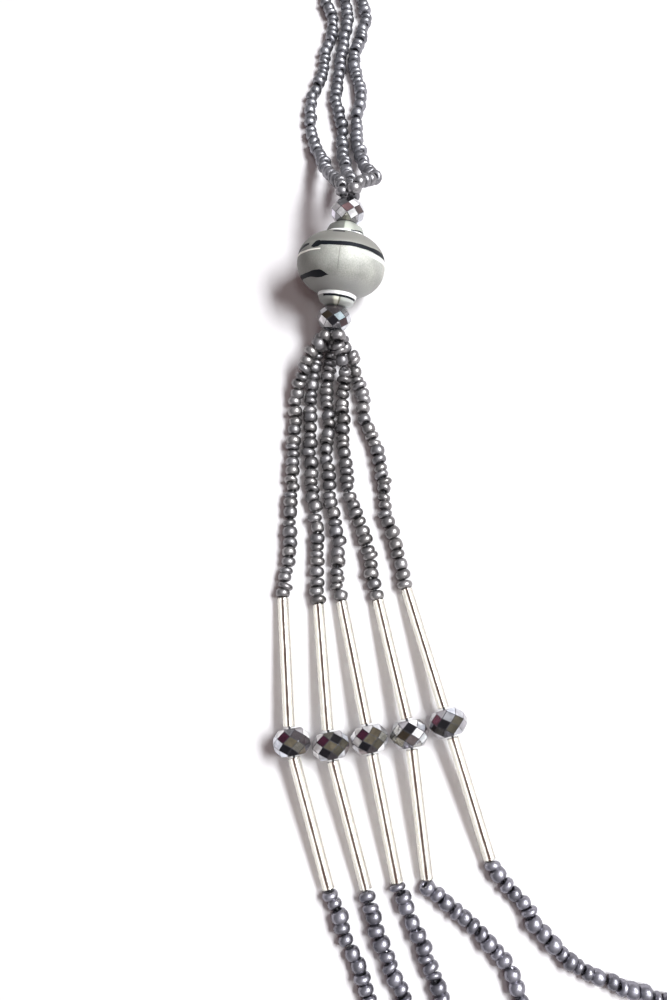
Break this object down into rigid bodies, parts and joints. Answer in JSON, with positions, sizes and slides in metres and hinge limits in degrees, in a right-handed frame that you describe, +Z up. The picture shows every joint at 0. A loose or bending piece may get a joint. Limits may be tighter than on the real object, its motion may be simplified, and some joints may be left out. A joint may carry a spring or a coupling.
{
  "type": "multi-strand bead necklace",
  "caption": "Long necklace of seed bead strings that fan out under a large bead on each side to glass bugles, a row of faceted crystals and a set of swags.",
  "frame": {"origin": "middle of the whole necklace as it lies, on the surface it lies on", "axes": "+Y runs up to the back of the neck, +X across the wearer to the picture's right, +Z up from the surface"},
  "size_m": [0.1854, 0.4, 0.0208],
  "materials": {
    "seed_metal": "satin gunmetal grey",
    "main_bead_metal": "satin silver grey with black and white streaks",
    "crystal_mirror": "mirror-coated facets",
    "bugle_glass": "clear glass with a silver-lined bore",
    "thread": "dark beading thread",
    "clasp_metal": "satin grey metal"
  },
  "bodies": {
    "root": {"thread": "thread", "clasp": "clasp_metal", "main_bead_left": "main_bead_metal", "neck_crystal_left": "crystal_mirror", "front_crystal_left": "crystal_mirror", "neck_string_left_1": "seed_metal", "neck_string_left_2": "seed_metal", "neck_string_left_3": "seed_metal", "upper_bugle_left_1": "bugle_glass", "crystal_left_1": "crystal_mirror", "lower_bugle_left_1": "bugle_glass", "fan_string_left_1": "seed_metal", "upper_bugle_left_2": "bugle_glass", "crystal_left_2": "crystal_mirror", "lower_bugle_left_2": "bugle_glass", "fan_string_left_2": "seed_metal", "upper_bugle_left_3": "bugle_glass", "crystal_left_3": "crystal_mirror", "lower_bugle_left_3": "bugle_glass", "fan_string_left_3": "seed_metal", "upper_bugle_left_4": "bugle_glass", "crystal_left_4": "crystal_mirror", "lower_bugle_left_4": "bugle_glass", "fan_string_left_4": "seed_metal", "upper_bugle_left_5": "bugle_glass", "crystal_left_5": "crystal_mirror", "lower_bugle_left_5": "bugle_glass", "fan_string_left_5": "seed_metal", "main_bead_right": "main_bead_metal", "neck_crystal_right": "crystal_mirror", "front_crystal_right": "crystal_mirror", "neck_string_right_1": "seed_metal", "neck_string_right_2": "seed_metal", "neck_string_right_3": "seed_metal", "upper_bugle_right_1": "bugle_glass", "crystal_right_1": "crystal_mirror", "lower_bugle_right_1": "bugle_glass", "fan_string_right_1": "seed_metal", "upper_bugle_right_2": "bugle_glass", "crystal_right_2": "crystal_mirror", "lower_bugle_right_2": "bugle_glass", "fan_string_right_2": "seed_metal", "upper_bugle_right_3": "bugle_glass", "crystal_right_3": "crystal_mirror", "lower_bugle_right_3": "bugle_glass", "fan_string_right_3": "seed_metal", "upper_bugle_right_4": "bugle_glass", "crystal_right_4": "crystal_mirror", "lower_bugle_right_4": "bugle_glass", "fan_string_right_4": "seed_metal", "upper_bugle_right_5": "bugle_glass", "crystal_right_5": "crystal_mirror", "lower_bugle_right_5": "bugle_glass", "fan_string_right_5": "seed_metal", "swag_string_1": "seed_metal", "swag_string_2": "seed_metal", "swag_string_3": "seed_metal", "swag_string_4": "seed_metal", "swag_string_5": "seed_metal"}
  },
  "joints": []
}
